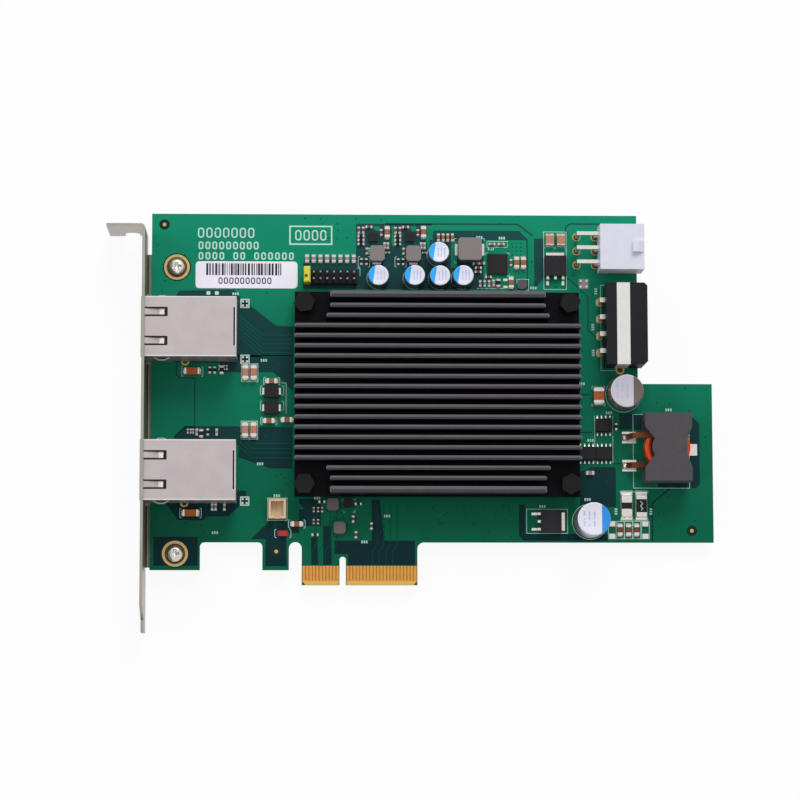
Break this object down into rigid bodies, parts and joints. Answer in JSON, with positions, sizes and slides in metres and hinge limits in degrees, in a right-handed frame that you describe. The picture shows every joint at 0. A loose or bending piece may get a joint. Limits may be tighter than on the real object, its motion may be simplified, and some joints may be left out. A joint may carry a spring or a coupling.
{
  "type": "network interface card",
  "caption": "Full-height expansion card with shielded network ports, a large finned heat sink, power inlets and a slot bracket",
  "frame": {"origin": "middle of the key notch at the end of the edge contacts, in the board's component face", "axes": "+X along the card away from the bracket, +Y from the edge contacts to the top edge, +Z out of the component side"},
  "size_m": [0.1804, 0.1253, 0.0184],
  "materials": {
    "laminate": "glossy green solder mask",
    "gold": "bright",
    "bracket_steel": "satin",
    "screw_steel": "bright",
    "shield_steel": "satin",
    "black_plastic": "matte",
    "chip_plastic": "matte",
    "sink_black": "black anodised",
    "sink_screw_black": "matte",
    "nut_steel": "satin",
    "pad_grey": "soft",
    "lens": "clear",
    "jumper_yellow": "matte",
    "nylon_white": "translucent white",
    "collar_white": "matte",
    "tin": "bright tin",
    "ferrite": "matte grey",
    "copper": "enamelled copper",
    "can_aluminium": "satin with coloured print",
    "bung_rubber": "matte",
    "ceramic_tan": "matte",
    "ceramic_black": "matte",
    "ivory": "matte",
    "red_lens": "clear red",
    "paper": "satin"
  },
  "bodies": {
    "root": {"circuit_board": "laminate", "edge_contacts_front": "gold", "edge_contacts_back": "gold", "bracket": "bracket_steel", "bracket_screws": "screw_steel", "port_shield_upper": "shield_steel", "port_shield_lower": "shield_steel", "port_housing_upper": "black_plastic", "port_housing_lower": "black_plastic", "port_contacts_upper": "gold", "port_contacts_lower": "gold", "port_indicators": "lens", "heat_sink": "sink_black", "heat_sink_screws": "sink_screw_black", "heat_sink_nuts": "nut_steel", "heat_sink_spacers": "nut_steel", "controller_chip": "chip_plastic", "thermal_pad": "pad_grey", "header_strip": "black_plastic", "header_pins": "gold", "jumper_cap": "jumper_yellow", "inlet_six_housing": "nylon_white", "inlet_six_pins": "tin", "inlet_four_housing": "black_plastic", "inlet_four_collar": "collar_white", "inlet_four_pins": "tin", "power_inductor_core": "ferrite", "power_inductor_winding": "copper", "power_inductor_lands": "tin", "capacitor_cans": "can_aluminium", "capacitor_bungs": "bung_rubber", "small_inductors": "ferrite", "medium_inductor": "ferrite", "flat_inductors": "ferrite", "round_inductor": "ferrite", "leadless_chips": "chip_plastic", "transistor_bodies": "chip_plastic", "transistor_leads": "tin", "driver_chip_bodies": "chip_plastic", "driver_chip_leads": "tin", "clamp_diode_bodies": "chip_plastic", "clamp_diode_leads": "tin", "chip_capacitors": "ceramic_tan", "chip_resistors": "ceramic_black", "shunt_resistor": "ceramic_tan", "fuse": "ceramic_black", "wafer_connector": "ivory", "status_light": "red_lens", "label": "paper"}
  },
  "joints": []
}
